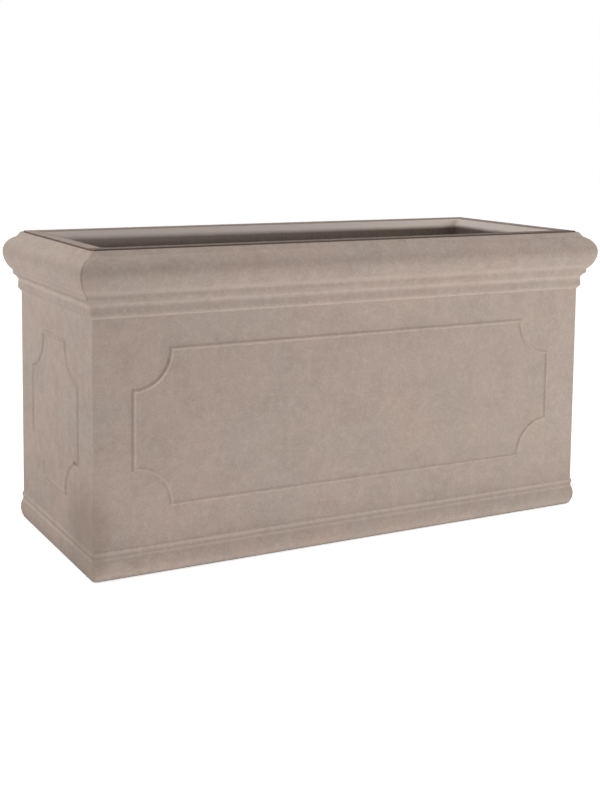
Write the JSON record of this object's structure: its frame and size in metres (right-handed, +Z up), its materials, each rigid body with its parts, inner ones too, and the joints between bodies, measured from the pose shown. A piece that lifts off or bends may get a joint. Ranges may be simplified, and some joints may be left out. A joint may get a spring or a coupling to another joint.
{
  "type": "rectangular trough planter",
  "caption": "Long rectangular trough planter with a thick rounded rim, panels outlined by a raised bead, a low base moulding and a drop-in liner that lifts out.",
  "frame": {"origin": "centre of the footprint on the floor, at the underside of the floor pads", "axes": "+X along the length, to the right seen from the front; +Y from the front to the back; +Z up"},
  "size_m": [0.9772, 0.4172, 0.5095],
  "materials": {
    "cast_stone": "matte, fine sandy grain, edges rubbed a little lighter",
    "liner": "fibre-reinforced resin, stone-coloured on the flange and lip, bare dark brown-grey below",
    "plug_rubber": "matte black",
    "pad_rubber": "matte dark grey"
  },
  "bodies": {
    "shell": {"outer_shell": "cast_stone", "floor_pad_front_left": "pad_rubber", "floor_pad_front_right": "pad_rubber", "floor_pad_back_left": "pad_rubber", "floor_pad_back_right": "pad_rubber"},
    "liner": {"liner": "liner"},
    "plug_left": {"drain_plug_left": "plug_rubber"},
    "plug_right": {"drain_plug_right": "plug_rubber"}
  },
  "joints": [
    {"name": "liner_lift", "type": "slide", "parent": "shell", "child": "liner", "axis": [0, 0, 1], "range_m": [0, 0.5]},
    {"name": "plug_left_pull", "type": "slide", "parent": "liner", "child": "plug_left", "axis": [0, 0, 1], "range_m": [0, 0.5]},
    {"name": "plug_right_pull", "type": "slide", "parent": "liner", "child": "plug_right", "axis": [0, 0, 1], "range_m": [0, 0.5]}
  ]
}
